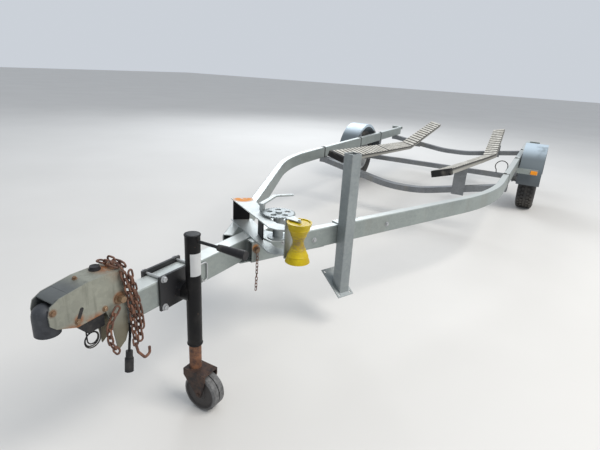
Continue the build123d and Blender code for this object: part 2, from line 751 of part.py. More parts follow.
with BuildPart() as winch_crank:
    with BuildSketch(Plane.XY.offset(frame_top_z)):
        with Locations((drum_x - 1, drum_y - 90)):
            Circle(13)
    extrude(amount=26)
    with BuildSketch(Plane.XY.offset(frame_top_z + 26)):
        with BuildLine():
            Polyline((2210, 50), (2208, 72), (2048, 43), (1978, 99), (1966, 83), (2042, 21), close=True)
        make_face()
    extrude(amount=8)
save(winch_crank.part, "winch_crank")

# Bow roller on an upright pin, in a bracket welded to the tips of the head plates
roller_reach = roller_strap + moving_clearance + roller_end_radius
roller_x = tip_x + math.cos(bearing) * roller_reach
roller_y = tip_y + math.sin(bearing) * roller_reach
bracket_height = roller_length + 2 * running_gap + 2 * roller_ear
with BuildPart() as roller_bracket:
    strap_plane = Plane(origin=(tip_x, tip_y, roller_mid_z - bracket_height / 2),
                        x_dir=(math.cos(bearing), math.sin(bearing), 0), z_dir=(0, 0, 1))
    with BuildSketch(strap_plane):
        with Locations((roller_strap / 2, 0)):
            Rectangle(roller_strap, 2 * tip_half_width)
    extrude(amount=bracket_height)
    for z in (0, bracket_height - roller_ear):
        with BuildSketch(strap_plane.offset(z)):
            with BuildLine():
                Polyline((0, -tip_half_width), (roller_reach, -9), (roller_reach, 9), (0, tip_half_width),
                         close=True)
            make_face()
            with Locations((roller_reach, 0)):
                Circle(9)
        extrude(amount=roller_ear)
    with BuildSketch(strap_plane.offset(-6)):
        with Locations((roller_reach, 0)):
            Circle(roller_pin_radius)
    extrude(amount=bracket_height + 12)
save(roller_bracket.part, "bow_roller_bracket")

with BuildPart() as roller:
    half = roller_length / 2
    bore_x = roller_x + roller_pin_radius + running_gap
    end_x = roller_x + roller_end_radius
    neck_x = roller_x + roller_neck_radius
    with BuildSketch(Plane.XZ.offset(-roller_y)):
        with BuildLine():
            Polyline((bore_x, roller_mid_z - half), (end_x, roller_mid_z - half),
                     (end_x - 4, roller_mid_z - half + 26))
            ThreePointArc((end_x - 4, roller_mid_z - half + 26), (neck_x + 5, roller_mid_z - 22),
                          (neck_x, roller_mid_z))
            ThreePointArc((neck_x, roller_mid_z), (neck_x + 5, roller_mid_z + 22),
                          (end_x - 4, roller_mid_z + half - 26))
            Polyline((end_x - 4, roller_mid_z + half - 26), (end_x, roller_mid_z + half),
                     (bore_x, roller_mid_z + half), (bore_x, roller_mid_z - half))
        make_face()
    revolve(axis=Axis((roller_x, roller_y, 0), (0, 0, 1)))
save(roller.part, "bow_roller")

# Winch post: a square tube upright against the left rail's outer face, with a sloped foot plate
post_x, post_y = rail_point(post_along, post_size / 2 + seat_gap)
rail_dir = Vector(forward[0], forward[1], 0)
inward = Vector(-outward[0], -outward[1], 0)
tilt = math.radians(foot_tilt)
foot_dir = inward * math.cos(tilt) + Vector(0, 0, math.sin(tilt))
foot_normal = foot_dir.cross(rail_dir)
if foot_normal.Z < 0:
    foot_normal = foot_normal * -1
foot_plane = Plane(origin=Vector(post_x, post_y, foot_low_z) - inward * (post_size / 2 + 18),
                   x_dir=foot_dir, z_dir=foot_normal)
with BuildPart() as post:
    with BuildSketch(Plane(origin=(post_x, post_y, foot_low_z - 20), x_dir=rail_dir, z_dir=(0, 0, 1))):
        RectangleRounded(post_size, post_size, 5)
        RectangleRounded(post_size - 2 * post_wall, post_size - 2 * post_wall, 2, mode=Mode.SUBTRACT)
    extrude(amount=post_top_z - foot_low_z + 20)
    split(bisect_by=foot_plane, keep=Keep.TOP)
    with BuildSketch(foot_plane):
        with Locations((foot_length / 2, 0)):
            Rectangle(foot_length, foot_width)
            with GridLocations(foot_length - 32, foot_width - 28, 2, 2):
                Circle(foot_hole_radius, mode=Mode.SUBTRACT)
    extrude(amount=-foot_sheet)
save(post.part, "winch_post")

# Saddle strap that wraps the rail from behind and is welded to the post
with BuildPart() as saddle:
    reach = rail_width + 2 * seat_gap
    tall = rail_height + 2 * seat_gap
    with BuildSketch(Plane(origin=(*rail_point(post_along + saddle_width / 2, seat_gap), rail_mid_z),
                           x_dir=(outward[0], outward[1], 0), z_dir=(forward[0], forward[1], 0))):
        with Locations((-(reach + saddle_sheet) / 2, 0)):
            Rectangle(reach + saddle_sheet, tall + 2 * saddle_sheet)
        with Locations((-reach / 2, 0)):
            Rectangle(reach, tall, mode=Mode.SUBTRACT)
    extrude(amount=saddle_width)
save(saddle.part, "post_saddle")


# Chains: links with straight sides, each turned a quarter from the last
def make_link(a, b, turned, wire, length, width):
    """One link centred between two joints of the chain, as a ring with straight sides."""
    d = (b - a).normalized()
    normal = d.cross(Vector(1, 0, 0)).normalized()
    z_dir = d.cross(normal).normalized() if turned else normal
    plane = Plane(origin=(a + b) * 0.5 - z_dir * (wire / 2), x_dir=d, z_dir=z_dir)
    with BuildPart() as link:
        with BuildSketch(plane):
            for half, wide, mode in ((length / 2, width / 2, Mode.ADD),
                                     (length / 2 - wire, width / 2 - wire, Mode.SUBTRACT)):
                cut = wide * 0.6
                with BuildLine():
                    Polyline((half, cut - wide), (half, wide - cut), (half - cut, wide), (cut - half, wide),
                             (-half, wide - cut), (-half, cut - wide), (cut - half, -wide),
                             (half - cut, -wide), close=True)
                make_face(mode=mode)
        extrude(amount=wire)
    return link.part


def chain_joints(points, pitch):
    """Points on a polyline, each one pitch in a straight line from the last."""
    joints = [Vector(*points[0])]
    for a, b in zip(points, points[1:]):
        for i in range(201):
            p = Vector(*a) + (Vector(*b) - Vector(*a)) * (i / 200)
            if (p - joints[-1]).length >= pitch:
                joints.append(joints[-1] + (p - joints[-1]).normalized() * pitch)
    return joints


def make_chain(routes, wire, length, width):
    links = []
    for route in routes:
        joints = chain_joints(route, length - 2 * wire - link_play)
        for i, (a, b) in enumerate(zip(joints, joints[1:])):
            links.append(make_link(a, b, i % 2 == 1, wire, length, width))
    return links


chain_pitch = link_length - 2 * link_wire - link_play
link_over = (link_length - chain_pitch) / 2
chain_y = cheek_out + touch_gap + link_width / 2
chain_top_z = housing_top_z + link_width / 2 + seat_gap
bolt_centre = (2988.0, 582.0)
short_start = chain_bolt_radius + touch_gap + link_over
beside = link_width + touch_gap
long_route = [(2976, chain_y, 676), (2958, chain_y, 564), (2948, chain_y, 386)]
chain_routes = [
    [(2990, -34, chain_top_z), (2980, 36, chain_top_z)],
    long_route,
    [(2976 - beside, chain_y, 676), (2958 - beside, chain_y, 564), (2918, chain_y, 500),
     (2914, chain_y, 420)],
    [(bolt_centre[0] + 0.64 * short_start, chain_y, bolt_centre[1] - 0.77 * short_start),
     (3036, chain_y, 524), (3050, chain_y, 484), (3040, chain_y, 430), (3016, chain_y, 392)],
]
save(Compound(children=make_chain(chain_routes, link_wire, link_length, link_width)), "safety_chain")

# Bolt on the left cheek, where the short chain is made fast
with BuildPart() as chain_bolt:
    with BuildSketch(Plane.XZ.offset(-cheek_out - 4)):
        with Locations(bolt_centre):
            Circle(19)
    extrude(amount=4)
    with BuildSketch(Plane.XZ.offset(-chain_y - 10)):
        with Locations(bolt_centre):
            RegularPolygon(chain_bolt_radius, 6)
    extrude(amount=chain_y + 6 - cheek_out)
save(chain_bolt.part, "chain_bolt")

# Open hook at the end of the long chain
chain_end = chain_joints(long_route, chain_pitch)[-1]
hook_x = chain_end.X
hook_z = chain_end.Z - link_over - 3 * touch_gap
with BuildPart() as hook:
    with BuildLine(Plane.XZ.offset(-chain_y)) as hook_path:
        FilletPolyline((hook_x, hook_z), (hook_x - 8, hook_z - 40), (hook_x - 36, hook_z - 80),
                       (hook_x - 58, hook_z - 72), (hook_x - 58, hook_z - 46), radius=11)
    with BuildSketch(Plane(origin=hook_path.line @ 0, z_dir=hook_path.line % 0)):
        Circle(5)
    sweep()
save(hook.part, "chain_hook")

# Bolt on the left rail's face near the junction, with a thin chain hanging under its head
bolt_x, bolt_y = rail_point(22.0)
bolt_z = 530.0
with BuildPart() as rail_bolt:
    bolt_plane = Plane(origin=(bolt_x, bolt_y, bolt_z), x_dir=(forward[0], forward[1], 0),
                       z_dir=(outward[0], outward[1], 0))
    with BuildSketch(bolt_plane.offset(seat_gap)):
        Circle(17)
    extrude(amount=4)
    with BuildSketch(bolt_plane.offset(seat_gap + 4)):
        RegularPolygon(11, 6)
    extrude(amount=11)
save(rail_bolt.part, "junction_bolt")

thin_x, thin_y = rail_point(22.0, 10.0)
thin_over = (2 * thin_link_wire + link_play) / 2
thin_top = bolt_z - 11 * math.cos(math.radians(30)) - seat_gap - thin_over
thin_routes = [[(thin_x, thin_y, thin_top), (thin_x + 2, thin_y, 420), (thin_x + 7, thin_y, 318)]]
save(Compound(children=make_chain(thin_routes, thin_link_wire, thin_link_length, thin_link_width)),
     "thin_chain")


# Cords. Each corner's radius is as large as its two runs allow.
def make_cord(name, points, radius):
    radii = []
    for a, b, c in zip(points, points[1:], points[2:]):
        first = Vector(*b) - Vector(*a)
        second = Vector(*c) - Vector(*b)
        turn = math.radians(first.get_angle(second))
        radii.append(round(0.45 * min(first.length, second.length) / math.tan(turn / 2), 1))
    print(name, "radii", radii)
    with BuildPart() as cord:
        with BuildLine() as cord_path:
            FilletPolyline(*points, radius=radii)
        with BuildSketch(Plane(origin=cord_path.line @ 0, z_dir=cord_path.line % 0)):
            Circle(radius)
        sweep()
    return cord.part


# Brake hose: rises from the axle in an open loop and comes back down to it
hose_points = [(-1574, 768, axle_top_z), (-1574, 768, 362), (-1568, 784, 404), (-1566, 776, 446),
               (-1567, 738, 472), (-1569, 692, 468), (-1571, 656, 434), (-1575, 650, 392),
               (-1578, 672, 362), (-1578, 672, axle_top_z)]
save(make_cord("brake_hose", hose_points, 5.0), "brake_hose")

# Wiring lead out of the tongue's underside, with its plug
lead_points = [(2936, 14, rail_bottom_z), (2936, 14, 440), (2946, 28, 414), (2961, 39, 392), (2966, 42, 366)]
save(make_cord("wiring_lead", lead_points, 4.5), "wiring_lead")
plug_axis = (Vector(*lead_points[-1]) - Vector(*lead_points[-2])).normalized()
with BuildPart() as plug:
    with BuildSketch(Plane(origin=lead_points[-1], z_dir=plug_axis)):
        Circle(12)
    extrude(amount=26)
    with BuildSketch(Plane(origin=Vector(*lead_points[-1]) + plug_axis * 26, z_dir=plug_axis)):
        Circle(15)
    extrude(amount=48)
save(plug.part, "wiring_plug")

# Breakaway cable, coiled and hung under the actuator block
coil_radius = 25.0
coil_wire = 7.0
coil_top = block_bottom_z - seat_gap - coil_wire
with BuildPart() as coil:
    with BuildSketch(Plane(origin=(3090, 28, coil_top), x_dir=(0, 1, 0), z_dir=(1, 0, 0))):
        Circle(coil_wire)
    revolve(axis=Axis((3090, 28, coil_top - coil_radius), (0, 1, 0)))
save(coil.part, "breakaway_coil")
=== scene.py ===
import bpy
import bmesh
import math
import random
from mathutils import Matrix, Vector


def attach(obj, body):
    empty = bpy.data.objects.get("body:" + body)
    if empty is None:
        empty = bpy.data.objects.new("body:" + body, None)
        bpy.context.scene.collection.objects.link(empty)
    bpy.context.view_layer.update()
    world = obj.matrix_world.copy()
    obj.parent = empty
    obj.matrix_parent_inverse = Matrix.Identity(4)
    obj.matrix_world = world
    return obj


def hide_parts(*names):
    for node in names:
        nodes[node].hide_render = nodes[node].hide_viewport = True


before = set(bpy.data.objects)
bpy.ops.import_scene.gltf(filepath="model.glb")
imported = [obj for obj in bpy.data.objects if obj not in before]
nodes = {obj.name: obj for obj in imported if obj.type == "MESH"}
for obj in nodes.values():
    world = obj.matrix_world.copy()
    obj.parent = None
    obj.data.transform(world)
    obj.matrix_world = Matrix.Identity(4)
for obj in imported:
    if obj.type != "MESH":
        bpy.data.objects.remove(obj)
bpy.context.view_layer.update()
random.seed(11)

# Measures that several pieces and materials share, in metres.
JACK_X, JACK_Y = 2.712, 0.108
CASTER_AXLE = (JACK_X, 0.152, 0.078)
CHEEK_Y = 0.0432
RAIL_TOP = 0.569
ROLLER_CENTRE = (2.34566, 0.341988, 0.648)
AXLE_X, AXLE_Z = -1.585, 0.305
TRACK = 1.018
SIDES = ((1, "left"), (-1, "right"))

# Shader maths.


def feed(socket, value):
    """Give a socket a link, a plain colour or a plain number."""
    if isinstance(value, Value):
        value.tree.links.new(value.out, socket)
    elif socket.type == "RGBA":
        socket.default_value = (*value, 1.0)
    else:
        socket.default_value = value


def add_node(tree, kind, sockets=None, output=0, **settings):
    """Add a node with its settings, then its sockets' values or links, and return one output."""
    node = tree.nodes.new(f"ShaderNode{kind}")
    for name, setting in settings.items():
        setattr(node, name, setting)
    for key, value in (sockets or {}).items():
        feed(node.inputs[key], value)
    return Value(tree, node.outputs[output])


class Value:
    """A socket's value. Arithmetic on it adds math nodes to its material."""

    def __init__(self, tree, out):
        self.tree = tree
        self.out = out

    def math(self, operation, *others, clamp=False):
        return add_node(self.tree, "Math", dict(enumerate((self, *others))), operation=operation,
                        use_clamp=clamp)

    def __add__(self, other):
        return self.math("ADD", other)

    def __sub__(self, other):
        return self.math("SUBTRACT", other)

    def __mul__(self, other):
        return self.math("MULTIPLY", other)

    def __rsub__(self, other):
        return self * -1 + other

    __radd__ = __add__
    __rmul__ = __mul__

    def magnitude(self):
        return self.math("ABSOLUTE")

    def clamp(self):
        return self.math("ADD", 0.0, clamp=True)

    def top(self, other):
        return self.math("MAXIMUM", other)

    def step(self, low, high):
        """0 below low, 1 above high, smooth between."""
        return add_node(self.tree, "MapRange", {"Value": self, "From Min": low, "From Max": high},
                        interpolation_type="SMOOTHSTEP")


class Look:
    """One material, built round its Principled shader and read in Object coordinates."""

    def __init__(self, name):
        self.mat = bpy.data.materials.new(name)
        self.mat.use_nodes = True
        self.tree = self.mat.node_tree
        self.bsdf = self.tree.nodes["Principled BSDF"]
        self.place = self.node("TexCoord", output="Object")
        split = self.node("SeparateXYZ", {0: self.place})
        self.x, self.y, self.z = (Value(self.tree, out) for out in split.out.node.outputs)

    def node(self, kind, sockets=None, output=0, **settings):
        return add_node(self.tree, kind, sockets, output, **settings)

    def noise(self, scale, detail=4.0, rough=0.55, stretch=None):
        place = self.node("Mapping", {"Scale": stretch, "Vector": self.place}) if stretch else self.place
        return self.node("TexNoise", {"Scale": scale, "Detail": detail, "Roughness": rough, "Vector": place})

    def cells(self, scale):
        cell = self.node("TexVoronoi", {"Scale": scale, "Vector": self.place}, output="Color")
        return self.node("SeparateColor", {0: cell})

    def near(self, point, inner, outer):
        """1 within inner of the point, 0 beyond outer."""
        dx, dy, dz = self.x - point[0], self.y - point[1], self.z - point[2]
        distance = (dx * dx + dy * dy + dz * dz).math("SQRT")
        return 1 - distance.step(inner, outer)

    def mix(self, share, a, b):
        """Colour a where the share is 0, colour b where it is 1."""
        return self.node("Mix", {0: share, 6: a, 7: b}, output=2, data_type="RGBA")

    def set(self, **inputs):
        """Set inputs of the Principled shader, named with _ for each space."""
        for name, value in inputs.items():
            feed(self.bsdf.inputs[name.replace("_", " ")], value)

    def bump(self, height, distance):
        self.set(Normal=self.node("Bump", {"Strength": 0.6, "Distance": distance, "Height": height}))


RUST_DARK = (0.11, 0.045, 0.022)
RUST_LIGHT = (0.36, 0.15, 0.055)


def hood_marks(look, colour, clouds):
    """The coupler's brown lower edge, its dark streaks and the darker cover between its cheeks."""
    skid = (1 - look.z.step(0.46, 0.56)) * (clouds * 0.6 + 0.4)
    streak = look.noise(55.0, 5.0, 0.6, stretch=(1.0, 1.0, 0.12)).step(0.52, 0.70) * 0.45
    colour = look.mix(streak, look.mix(skid, colour, (0.13, 0.105, 0.06)), (0.15, 0.15, 0.125))
    between_cheeks = 1 - look.y.magnitude().step(CHEEK_Y - 0.0047, CHEEK_Y - 0.0004)
    cover = between_cheeks * look.x.step(3.07, 3.15) * look.z.step(0.60, 0.63)
    return look.mix(cover * 0.9, colour, look.mix(clouds, (0.06, 0.066, 0.07), (0.17, 0.185, 0.19)))


def galvanised(name, light=(0.34, 0.375, 0.36), dark=(0.25, 0.28, 0.272), rust=0.0, spots=(), grime=0.25,
               edge=None, orange=None, hood=False, lit_top_highlight=False):
    """Weathered zinc: faint crystals, cloudy patches, long runs of dirt and spots of rust.

    spots and orange are rust round a point, as point, inner and outer distance. edge is rust along a
    lower edge, as bottom, top, rear and front. The last flag paints a pale highlight on the rail's
    top face, where the sky lights it.
    """
    look = Look(name)
    crystals = look.cells(85.0)
    clouds = look.noise(5.0, 6.0, 0.6)
    runs = look.noise(9.0, 5.0, 0.6, stretch=(1.0, 1.0, 0.16))
    fine = look.noise(160.0, 3.0)
    tone = (crystals * 0.14 + clouds * 0.86).step(0.2, 0.8)
    colour = look.mix(tone, dark, light)
    dirt = runs.step(0.50, 0.72) * grime
    colour = look.mix(dirt, colour, (0.20, 0.19, 0.16))
    stain = look.noise(14.0, 8.0, 0.7).step(0.74 - 0.22 * rust, 0.86 - 0.16 * rust)
    for point, inner, outer in spots:
        patch = look.near(point, inner, outer) * look.noise(30.0, 6.0, 0.7).step(0.34, 0.52)
        stain = stain.top(patch)
    if edge:
        bottom, top, rear, front = edge
        low = 1 - look.z.step(bottom, top)
        reach = look.x.step(rear, rear + 0.03) * (1 - look.x.step(front - 0.03, front))
        stain = stain.top(low * reach * look.noise(22.0, 7.0, 0.7).step(0.30, 0.55))
    # Painted highlight: the rail's top face is paled toward white, as if the sky lit it.
    if lit_top_highlight:
        on_top = look.z.step(RAIL_TOP - 0.0008, RAIL_TOP - 0.0002)
        colour = look.mix(on_top * 0.75, colour, (0.66, 0.69, 0.67))
    if hood:
        colour = hood_marks(look, colour, clouds)
    rust_tone = look.noise(70.0, 5.0, 0.7)
    colour = look.mix(stain, colour, look.mix(rust_tone, RUST_DARK, RUST_LIGHT))
    if orange:
        patch = look.near(*orange) * look.noise(26.0, 5.0, 0.6).step(0.36, 0.46)
        colour = look.mix(patch, colour, look.mix(rust_tone, (0.36, 0.12, 0.02), (0.86, 0.34, 0.05)))
        stain = stain.top(patch)
    look.set(Base_Color=colour, Roughness=(clouds * 0.22 + 0.36 + stain * 0.3).clamp(),
             Metallic=(stain * -0.6 + 0.62 - dirt * 0.4).clamp())
    look.bump(fine * 0.5 + rust_tone * stain, 0.0008)
    return look.mat


def paint(name, colour, worn, wear, rough, dust):
    """Paint or plastic with soft clouds, chips that show what is under it, and a little dust."""
    look = Look(name)
    clouds = look.noise(5.4, 5.0)
    chips = look.noise(72.0, 8.0, 0.72).step(0.72 - wear * 0.5, 0.78 - wear * 0.4)
    shade = tuple(c * 0.72 for c in colour)
    base = look.mix(clouds.step(0.3, 0.7), shade, colour)
    base = look.mix(look.noise(18.0, 4.0).step(0.45, 0.8) * dust, base, (0.42, 0.38, 0.32))
    base = look.mix(chips, base, worn)
    look.set(Base_Color=base, Roughness=(clouds * 0.2 + rough - 0.1 + chips * 0.25).clamp(),
             Specular_IOR_Level=0.2)
    look.bump(look.noise(162.0, 3.0) + chips * -0.8, 0.0006)
    return look.mat


def rusty(name, dark, light, bare):
    """Rusted steel with pitted skin and a few places rubbed bare."""
    look = Look(name)
    pits = look.noise(240.0, 8.0, 0.7)
    patches = look.noise(38.0, 6.0, 0.65)
    rubbed = look.noise(60.0, 5.0).step(0.70 - bare * 0.3, 0.80 - bare * 0.2)
    colour = look.mix(patches.step(0.3, 0.7), dark, light)
    colour = look.mix(rubbed, colour, (0.33, 0.29, 0.26))
    look.set(Base_Color=colour, Roughness=(pits * 0.3 + 0.55).clamp(), Metallic=rubbed * 0.55)
    look.bump(pits, 0.0012)
    return look.mat


zinc = galvanised("zinc_frame", orange=((2.293, 0.10, 0.540), 0.010, 0.026), lit_top_highlight=True)
zinc_post = galvanised("zinc_post", light=(0.33, 0.36, 0.36), dark=(0.23, 0.255, 0.265), grime=0.4)
zinc_head = galvanised("zinc_head", light=(0.50, 0.53, 0.52), dark=(0.34, 0.37, 0.37), rust=0.12,
                       orange=((2.096, -0.124, 0.688), 0.03, 0.062))
zinc_coupler = galvanised("zinc_coupler", light=(0.34, 0.345, 0.29), dark=(0.235, 0.24, 0.205), rust=0.2,
                          spots=[((2.99, 0.0, 0.683), 0.01, 0.07), ((3.2087, CHEEK_Y, 0.6306), 0.004, 0.017),
                                 ((3.134, CHEEK_Y, 0.572), 0.006, 0.026),
                                 ((3.0437, CHEEK_Y, 0.568), 0.004, 0.014),
                                 ((2.988, CHEEK_Y, 0.582), 0.015, 0.030)],
                          grime=0.45, edge=(0.552, 0.578, 3.04, 3.24), hood=True)
zinc_low = galvanised("zinc_low", light=(0.25, 0.26, 0.27), dark=(0.145, 0.155, 0.165), rust=0.3, grime=0.5)
snout = galvanised("snout_steel", light=(0.085, 0.09, 0.10), dark=(0.035, 0.037, 0.042), rust=0.15, grime=0.2)
black = paint("black_paint", (0.007, 0.007, 0.008), (0.20, 0.12, 0.07), wear=0.12, rough=0.42, dust=0.03)
leg_rust = rusty("leg_rust", dark=(0.055, 0.028, 0.02), light=(0.24, 0.105, 0.05), bare=0.15)
fork_rust = rusty("fork_rust", dark=(0.012, 0.009, 0.009), light=(0.07, 0.035, 0.022), bare=0.1)
chain_rust = rusty("chain_rust", dark=(0.065, 0.030, 0.022), light=(0.20, 0.092, 0.055), bare=0.06)
amber = paint("amber_lens", (0.85, 0.30, 0.02), (0.50, 0.20, 0.05), wear=0.02, rough=0.22, dust=0.1)
plated = galvanised("plated_bolt", light=(0.30, 0.21, 0.13), dark=(0.16, 0.085, 0.05), rust=0.8)
bolt_zinc = galvanised("bolt_zinc", light=(0.58, 0.59, 0.60), dark=(0.36, 0.37, 0.38), rust=0.2)
rubber = paint("black_rubber", (0.018, 0.018, 0.019), (0.07, 0.065, 0.06), wear=0.05, rough=0.7, dust=0.2)
plastic = paint("black_plastic", (0.025, 0.025, 0.027), (0.08, 0.08, 0.08), wear=0.08, rough=0.5, dust=0.15)
white_label = paint("white_label", (0.72, 0.73, 0.73), (0.40, 0.38, 0.35), wear=0.05, rough=0.5, dust=0.1)
wheel_white = paint("wheel_white", (0.62, 0.63, 0.63), (0.30, 0.18, 0.10), wear=0.1, rough=0.38, dust=0.25)


def tyre_look():
    """Dull rubber, dusty in patches and toward the ground."""
    look = Look("tyre_rubber")
    grain = look.noise(90.0, 6.0, 0.6)
    dust = look.noise(7.0, 5.0, 0.6).step(0.42, 0.75)
    low = 1 - look.z.step(0.0, 0.22)
    share = (dust * 0.35 + low * 0.3).clamp()
    colour = look.mix(share, (0.022, 0.022, 0.023), (0.16, 0.145, 0.125))
    look.set(Base_Color=colour, Roughness=(grain * 0.2 + 0.66).clamp())
    look.bump(grain, 0.0012)
    return look.mat


def fender_look():
    """Blue-grey paint, paler and flatter on top with a painted sky highlight, darker low down, and chipped.
    """
    look = Look("fender_paint")
    clouds = look.noise(6.0, 6.0, 0.6)
    # Painted highlight: the top is paled toward light blue, as if the sky lit it.
    sky_highlight = (look.z.step(0.56, 0.68) * (clouds.step(0.25, 0.5) * 0.7 + 0.3)).clamp()
    colour = look.mix(sky_highlight, (0.115, 0.14, 0.155), (0.50, 0.60, 0.68))
    # Darker toward the lower edge.
    low = 1 - look.z.step(0.32, 0.52)
    colour = look.mix(low * 0.6, colour, (0.07, 0.075, 0.08))
    chips = look.noise(50.0, 8.0, 0.7).step(0.68, 0.76)
    colour = look.mix(chips, colour, (0.30, 0.22, 0.15))
    look.set(Base_Color=colour, Roughness=(clouds * 0.25 + 0.32 + chips * 0.2).clamp(), Metallic=0.25)
    look.bump(look.noise(140.0, 3.0) * 0.4 - chips, 0.0006)
    return look.mat


def caster_look():
    """Grey scuffed tread on dark wheels, with a painted-shade groove round the middle."""
    look = Look("caster_wheel")
    dx, dy, dz = look.x - CASTER_AXLE[0], look.y - CASTER_AXLE[1], look.z - CASTER_AXLE[2]
    radius = (dy * dy + dz * dz).math("SQRT")
    tread = radius.step(0.066, 0.070)
    scuffs = look.noise(60.0, 7.0, 0.65)
    colour = look.mix(tread, (0.045, 0.040, 0.038), look.mix(scuffs.step(0.3, 0.7), (0.07, 0.07, 0.07),
                                                              (0.17, 0.17, 0.17)))
    # Painted shade: a near-black band round the middle, where the groove between the wheels lies.
    groove_shade = 1 - dx.magnitude().step(0.001, 0.003)
    colour = look.mix(groove_shade * 0.8, colour, (0.012, 0.012, 0.012))
    look.set(Base_Color=colour, Roughness=(scuffs * 0.25 + 0.55).clamp())
    look.bump(scuffs, 0.001)
    return look.mat


def roller_look():
    """Aged yellow urethane: glossy, browned at the neck and scored by the bow."""
    look = Look("roller_yellow")
    clouds = look.noise(16.0, 6.0, 0.6)
    neck = 1 - (look.z - ROLLER_CENTRE[2]).magnitude().step(0.010, 0.050)
    scores = look.noise(50.0, 6.0, 0.7, stretch=(1.0, 1.0, 7.0))
    colour = look.mix(clouds.step(0.25, 0.75), (0.36, 0.24, 0.002), (0.58, 0.45, 0.004))
    colour = look.mix(neck * scores.step(0.35, 0.6) * 0.85, colour, (0.20, 0.15, 0.075))
    colour = look.mix(scores.step(0.62, 0.75) * 0.5, colour, (0.34, 0.24, 0.04))
    look.set(Base_Color=colour, Roughness=(scores * 0.2 + 0.3).clamp(), Specular_IOR_Level=0.3)
    look.bump(scores, 0.001)
    return look.mat


def clamp_look():
    """Black clamp plates with bare zinc tie rods."""
    look = Look("clamp")
    across = look.y.magnitude()
    plates = across.step(0.0374, 0.0379) * (1 - across.step(0.0484, 0.0488))
    outside = look.y.step(0.0484, 0.0488)
    boss = outside - outside * (1 - look.near((JACK_X, 0.06, 0.500), 0.038, 0.040))
    dark = plates.top(boss).clamp()
    clouds = look.noise(30.0, 6.0)
    chips = look.noise(75.0, 8.0, 0.7).step(0.64, 0.72)
    paint_colour = look.mix(chips, (0.018, 0.018, 0.02), (0.22, 0.12, 0.065))
    zinc_colour = look.mix(clouds, (0.36, 0.37, 0.37), (0.58, 0.59, 0.58))
    look.set(Base_Color=look.mix(dark, zinc_colour, paint_colour), Roughness=(clouds * 0.25 + 0.34).clamp(),
             Metallic=(dark * -0.7 + 0.7).clamp())
    look.bump(clouds - chips, 0.0006)
    return look.mat


def board_look(label, origin, along, roll_degrees):
    """Grey ribbed deck board: pale worn slats over gaps and sides darkened with painted shade, with fine
    lengthwise grain.
    """
    look = Look(f"bunk_board_{label}")
    roll = math.radians(roll_degrees)
    normal = Vector(along).cross(Vector((0, math.cos(roll), math.sin(roll)))).normalized()
    if normal.z < 0:
        normal = -normal
    height = ((look.x - origin[0]) * normal.x + (look.y.magnitude() - origin[1]) * normal.y
              + (look.z - origin[2]) * normal.z)
    top = height.step(-0.0045, -0.0015)
    grain = look.noise(26.0, 6.0, 0.65, stretch=(0.12, 1.6, 1.6))
    patches = look.noise(5.0, 5.0)
    colour = look.mix(grain.step(0.3, 0.7), (0.38, 0.365, 0.33), (0.64, 0.62, 0.56))
    colour = look.mix(patches.step(0.45, 0.75) * 0.4, colour, (0.40, 0.36, 0.28))
    # Painted shade: just under the slat tops the gaps go near black, and deeper down the sides go darker.
    side = height.step(-0.030, -0.010)
    colour = look.mix(1 - top, colour, look.mix(side, (0.30, 0.29, 0.26), (0.045, 0.043, 0.040)))
    look.set(Base_Color=colour, Roughness=(grain * 0.2 + 0.66).clamp())
    look.bump(grain, 0.0012)
    return look.mat


tyre_rubber = tyre_look()
fender_paint = fender_look()
stations = [(0.315, 0.447, 0.632, 17.0), (-1.010, 0.489, 0.528, 15.5), (-2.050, 0.517, 0.451, 14.0),
            (-3.234, 0.447, 0.650, 10.5)]
boards = {}
for label, a, b in zip(("front", "middle", "rear"), stations, stations[1:]):
    boards[f"bunk_{label}"] = board_look(label, a, Vector(b[:3]) - Vector(a[:3]), (a[3] + b[3]) / 2)

# Materials on the CAD nodes.
finishes = {
    "rail_left": zinc, "rail_right": zinc, "tongue": zinc, "junction_plate": zinc, "cross_member": zinc_low,
    "axle": zinc_low, "spring": zinc_low, "fender_stays": zinc_low, "fender": fender_paint,
    "side_lamp_arm": zinc, "side_lamp": amber, "tail_lamp": zinc, "bunk_bracket": zinc_low, **boards,
    "jack_clamp": clamp_look(), "jack_tube": black, "jack_crank": plastic, "jack_leg": leg_rust,
    "caster_fork": fork_rust, "caster_wheels": caster_look(), "coupler_housing": zinc_coupler,
    "coupler_slide": snout, "actuator": plastic, "winch_head_plates": zinc_head, "winch_head_webs": black,
    "winch_frame": zinc_head, "winch_drum": zinc_post, "winch_crank": zinc_head,
    "bow_roller_bracket": zinc_head, "bow_roller": roller_look(), "winch_post": zinc_post,
    "post_saddle": zinc, "chain_bolt": plated, "junction_bolt": plated, "chain_hook": chain_rust,
    "wiring_plug": plastic, "tyre": tyre_rubber, "wheel": wheel_white, "safety_chain": chain_rust,
    "thin_chain": chain_rust, "brake_hose": rubber, "wiring_lead": rubber, "breakaway_coil": rubber,
}
for name, node in nodes.items():
    key = max((k for k in finishes if name.startswith(k)), key=len)
    for material_slot in node.material_slots:
        material_slot.material = finishes[key]

# Modelling helpers.


def clear_selection():
    if bpy.context.object and bpy.context.object.mode != "OBJECT":
        bpy.ops.object.mode_set(mode="OBJECT")
    bpy.ops.object.select_all(action="DESELECT")


def add(kind, name, **options):
    """Add a primitive with nothing else selected, and put its place into its mesh."""
    clear_selection()
    getattr(bpy.ops.mesh, f"primitive_{kind}_add")(**options)
    obj = bpy.context.object
    obj.name = name
    bpy.ops.object.transform_apply(location=True, rotation=True, scale=True)
    return obj


